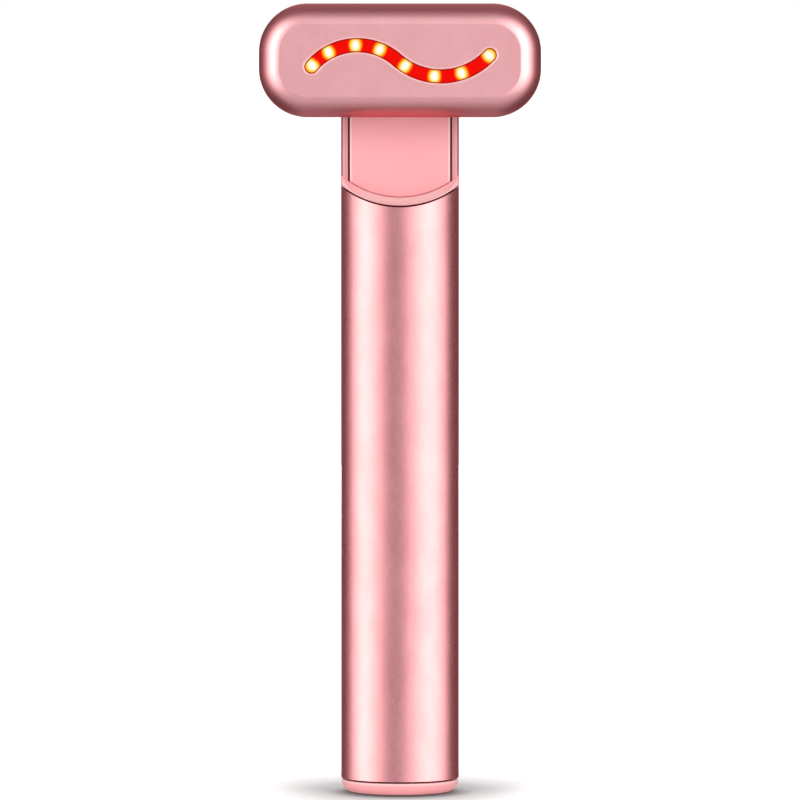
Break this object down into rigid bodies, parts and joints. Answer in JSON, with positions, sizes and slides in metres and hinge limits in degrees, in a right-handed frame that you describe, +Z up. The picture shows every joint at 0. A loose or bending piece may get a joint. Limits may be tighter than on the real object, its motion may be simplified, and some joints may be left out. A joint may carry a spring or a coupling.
{
  "type": "skincare wand",
  "caption": "Handheld skincare wand: round metal handle with a swivelling head that shines red light through a wavy window, and a mode button on its back.",
  "frame": {"origin": "on the handle's axis, at the underside of the base cap's flat foot", "axes": "+Z up along the handle, +Y towards the back with the button, so the light window faces -Y, and +X to the right seen from the front"},
  "size_m": [0.0546, 0.0277, 0.1537],
  "materials": {
    "rose_metal": "satin anodised rose tint",
    "blush_plastic": "moulded, soft satin",
    "red_lens": "clear red, polished",
    "button_plastic": "moulded, softly glossy",
    "clear_guide": "milky clear",
    "steel": "plain bright steel",
    "spring_steel": "drawn and rolled",
    "bush_brass": "turned",
    "slip_plastic": "natural white, slippery",
    "carrier_plastic": "moulded, off-white",
    "cell_wrap": "shrink-wrapped sleeve",
    "foam": "closed-cell foam",
    "wire_insulation": "flexible insulation",
    "cable_jacket": "flexible jacket",
    "board_green": "solder-masked circuit board",
    "board_white": "white circuit board",
    "chip_black": "moulded chip packages",
    "chip_parts": "small ceramic parts",
    "connector_white": "moulded connector",
    "lamp_clear": "lamp package with a clear face",
    "seal_rubber": "moulded seal",
    "motor_weight": "sintered heavy metal"
  },
  "bodies": {
    "handle": {"handle_tube": "rose_metal", "neck_frame": "blush_plastic", "neck_panel": "blush_plastic", "pivot_bush": "bush_brass", "thrust_washer": "slip_plastic", "wave_washer": "spring_steel", "detent_ball": "steel", "detent_spring": "spring_steel", "chassis": "carrier_plastic", "neck_screws": "steel", "battery_cell": "cell_wrap", "battery_pads": "foam", "battery_leads": "wire_insulation", "main_board": "board_green", "board_screws": "steel", "controller_chip": "chip_black", "charger_chip": "chip_black", "power_coil": "chip_black", "board_parts": "chip_parts", "switch_body": "steel", "status_lamp": "lamp_clear", "light_guide": "clear_guide", "usb_shell": "steel", "usb_tongue": "chip_black", "head_socket": "connector_white", "head_plug": "connector_white", "head_cable": "cable_jacket", "motor_can": "steel", "motor_sleeve": "seal_rubber", "motor_leads": "wire_insulation", "button_bezel": "rose_metal", "base_cap": "blush_plastic", "base_seal": "seal_rubber", "base_screws": "steel"},
    "head": {"head_front_shell": "rose_metal", "window_lens": "red_lens", "led_board": "board_white", "red_lamps": "lamp_clear", "lamp_board_screws": "steel", "head_back_shell": "rose_metal", "pivot_shaft": "steel", "shaft_screws": "steel", "retaining_clip": "spring_steel", "stop_pin": "steel", "lamp_cable": "cable_jacket"},
    "button": {"mode_button": "button_plastic"},
    "stem": {"switch_stem": "chip_black"},
    "rotor": {"motor_shaft": "steel", "motor_weight": "motor_weight"}
  },
  "joints": [
    {"name": "head_swivel", "type": "hinge", "parent": "handle", "child": "head", "pos_m": [0, -0.0025, 0.1427], "axis": [0, 1, 0], "range_deg": [-90, 90]},
    {"name": "button_press", "type": "slide", "parent": "handle", "child": "button", "axis": [0, -1, 0], "range_m": [0, 0.0004], "stiffness_N_per_m": 3000},
    {"name": "stem_press", "type": "slide", "parent": "handle", "child": "stem", "axis": [0, -1, 0], "range_m": [0, 0.0004]},
    {"name": "motor_spin", "type": "hinge", "parent": "handle", "child": "rotor", "pos_m": [0, -0.0032, 0.0956], "axis": [0, 0, 1], "continuous": true}
  ],
  "couplings": [
    {"joint": "stem_press", "follows": "button_press", "ratio": 1}
  ]
}
